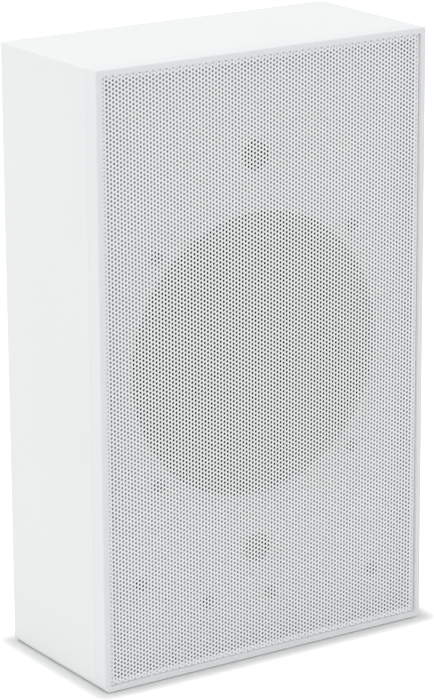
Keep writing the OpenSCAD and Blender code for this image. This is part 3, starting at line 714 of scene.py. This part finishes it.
# Line transformer
# The core is a stack of 0.5 mm sheets of silicon steel, varnished after assembly. Yellow tape
# covers the copper winding on its nylon bobbin, and a plated steel band clamps it down.
def stacked(tone):
    """The edges of varnished steel sheets."""
    sheets = ridges(tone, along(tone, "Z"), pitch=0.0005)
    varnish = clouds(tone, size=0.007, detail=3.0)
    return {
        "Base Color": blended(
            tone, 0.55 * sheets + 0.3 * varnish, colour(58, 54, 50), colour(112, 108, 102)
        ),
        "Roughness": 0.32 + 0.18 * varnish,
        "Normal": raised(tone, sheets, depth=0.00008),
    }


def taped(tone):
    """Glossy tape that shows the wire under it and its own overlaps."""
    wire = ridges(tone, along(tone, "Y"), pitch=0.0006)
    wrap = clouds(tone, size=0.012, detail=2.0, stretch=(1, 4, 1))
    return {
        "Base Color": blended(tone, wrap, colour(214, 170, 52), colour(190, 142, 36)),
        "Roughness": 0.26 + 0.10 * wrap,
        "Normal": raised(tone, wire, depth=0.00005),
    }


core_steel = finish("core_steel", stacked, Metallic=0.7)
dress("transformer_core", core_steel)
winding_tape = finish("winding_tape", taped)
dress("transformer_winding", winding_tape)
bobbin_nylon = finish(
    "bobbin_nylon",
    moulded(
        colour(232, 226, 208), colour(222, 214, 192), grain=0.0005, deep=0.000008, rough=0.38
    ),
)
dress("transformer_bobbin", bobbin_nylon)
dress("transformer_clamp", zinc_plate)


# Terminal block
# Four poles sit in a moulding of natural nylon, with a nickel plated screw over each.
# It stands on the back of the baffle, held by its two long screws and their nuts.
block_nylon = finish(
    "block_nylon",
    moulded(
        colour(234, 231, 220), colour(226, 221, 204), grain=0.0006, deep=0.000008, rough=0.34
    ),
)
dress("terminal_block", block_nylon)
nickel_plate = finish(
    "nickel_plate",
    plated(colour(206, 202, 192), colour(186, 182, 170), rough=0.22, cloud_size=0.002),
    Metallic=1.0,
)
dress("pole_screws", nickel_plate)


# Leads
# A brown pair runs from the block to the transformer and a red pair on to the tags, all
# with smooth PVC. Two tinsel braids go on to the cone, and bend with it.
def sheathed(base, shade):
    """Smooth PVC that drifts a little in tone."""

    def make(tone):
        drift = clouds(tone, size=0.01, detail=2.0)
        return {
            "Base Color": blended(tone, drift, base, shade),
            "Roughness": 0.30 + 0.10 * drift,
            "Normal": raised(tone, clouds(tone, size=0.0012, detail=1.0), depth=0.00001),
        }

    return make


def braided(tone):
    """Copper strands that cross each other, painted darker between them as painted shade."""
    strand_pitch = 0.0005
    slant = along(tone, "Z") + along(tone, "X")
    counter = along(tone, "Z") - along(tone, "X")
    strands = ridges(tone, slant, strand_pitch) * ridges(tone, counter, strand_pitch)
    return {
        # Painted shade: the dark copper lies in the dips between the strands.
        "Base Color": blended(tone, strands, colour(120, 76, 44), colour(206, 142, 92)),
        "Roughness": 0.34 + 0.12 * strands,
        "Normal": raised(tone, strands, depth=0.0001),
    }


brown_sheath = finish("brown_sheath", sheathed(colour(98, 56, 32), colour(84, 46, 26)))
red_sheath = finish("red_sheath", sheathed(colour(176, 34, 30), colour(152, 26, 24)))
tinsel_braid = finish("tinsel_braid", braided, Metallic=1.0)
dress("input_leads", brown_sheath)
dress("driver_leads", red_sheath)
merge_within = 1e-6
braid_crease = math.radians(50)
braid = bmesh.new()
braid.from_mesh(nodes["tinsel_leads"].data)
bmesh.ops.remove_doubles(braid, verts=braid.verts, dist=merge_within)
bmesh.ops.recalc_face_normals(braid, faces=braid.faces)
braids = made_piece(braid, "tinsel_braids", tinsel_braid)
smooth_over(braids, braid_crease)
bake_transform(braids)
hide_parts("tinsel_leads")


# Front frame
# A second white moulding clips on the baffle with eight pins and holds the grille.
# Its face is a little smoother than the housing, because the tool was polished there.
frame_plastic = finish(
    "frame_plastic",
    moulded(
        colour(236, 238, 240), colour(232, 234, 236), grain=0.0004, deep=0.000008, rough=0.40
    ),
    Specular_IOR_Level=0.45,
)
dress("front_frame", frame_plastic)


# Grille
# A steel sheet with 1.5 mm holes, staggered 2 mm apart in upright columns, is powder
# coated white. It is cut to size after punching, so its edges run through holes.
hole_pitch = 0.0020
column_step = 0.001766
hole_radius = 0.00073
spare_holes = 4
on_plane = 1e-7
sheet_low, sheet_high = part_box("grille")
sheet_middle = (sheet_low + sheet_high) / 2
sheet_size = sheet_high - sheet_low
columns = 2 * math.ceil(sheet_size.x / column_step / 2) + spare_holes
rows = 2 * math.ceil(sheet_size.z / hole_pitch / 2) + spare_holes


def keep_side(sheet, point, outward_way):
    """Cuts the sheet at a plane and drops what lies beyond it."""
    everything = sheet.verts[:] + sheet.edges[:] + sheet.faces[:]
    bmesh.ops.bisect_plane(
        sheet, geom=everything, plane_co=point, plane_no=outward_way,
        dist=on_plane, clear_outer=True,
    )


punched = bmesh.new()
bmesh.ops.create_grid(punched, x_segments=columns, y_segments=rows, size=1)
bmesh.ops.scale(
    punched, vec=(columns * column_step / 2, rows * hole_pitch / 2, 1), verts=punched.verts
)
odd_columns = [v for v in punched.verts if round(v.co.x / column_step) % 2]
bmesh.ops.translate(punched, vec=(0, hole_pitch / 2, 0), verts=odd_columns)
bmesh.ops.triangulate(punched, faces=punched.faces, quad_method="SHORT_EDGE")
centres = [v for v in punched.verts if not v.is_boundary]
holes = bmesh.ops.bevel(
    punched, geom=centres, offset=hole_radius, offset_type="OFFSET", affect="VERTICES",
    segments=1, profile=0.5, material=-1, clamp_overlap=False,
)
bmesh.ops.delete(punched, geom=holes["faces"], context="FACES_ONLY")
upright = Matrix.Rotation(math.radians(90), 4, "X")
bmesh.ops.transform(
    punched, matrix=Matrix.Translation(sheet_middle) @ upright, verts=punched.verts
)
for vert in punched.verts:
    vert.co.y = sheet_low.y
keep_side(punched, sheet_low, (-1, 0, 0))
keep_side(punched, sheet_high, (1, 0, 0))
keep_side(punched, sheet_low, (0, 0, -1))
keep_side(punched, sheet_high, (0, 0, 1))


def coated(tone):
    """White powder coat with a fine orange peel skin."""
    drift = clouds(tone, size=0.05, detail=2.0)
    peel = clouds(tone, size=0.0009, detail=2.0)
    return {
        "Base Color": blended(tone, drift, colour(250, 251, 252), colour(246, 248, 249)),
        "Roughness": 0.38 + 0.12 * peel,
        "Normal": raised(tone, peel, depth=0.00001),
    }


grille_paint = finish("grille_paint", coated, Specular_IOR_Level=0.5)
bands = ("grille_lower", "grille_middle", "grille_upper")
band_height = sheet_size.z / len(bands)
for number, name in enumerate(bands):
    band = punched.copy()
    floor_cut = sheet_low + Vector((0, 0, number * band_height))
    roof_cut = sheet_low + Vector((0, 0, (number + 1) * band_height))
    if number > 0:
        keep_side(band, floor_cut, (0, 0, -1))
    if number < len(bands) - 1:
        keep_side(band, roof_cut, (0, 0, 1))
    skin = bmesh.ops.extrude_face_region(band, geom=band.faces[:], use_keep_orig=True)
    moved = [item for item in skin["geom"] if isinstance(item, bmesh.types.BMVert)]
    bmesh.ops.translate(band, vec=(0, sheet_size.y, 0), verts=moved)
    bmesh.ops.recalc_face_normals(band, faces=band.faces)
    piece = made_piece(band, name, grille_paint)
    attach(piece, "cabinet")
    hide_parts("grille")
punched.free()
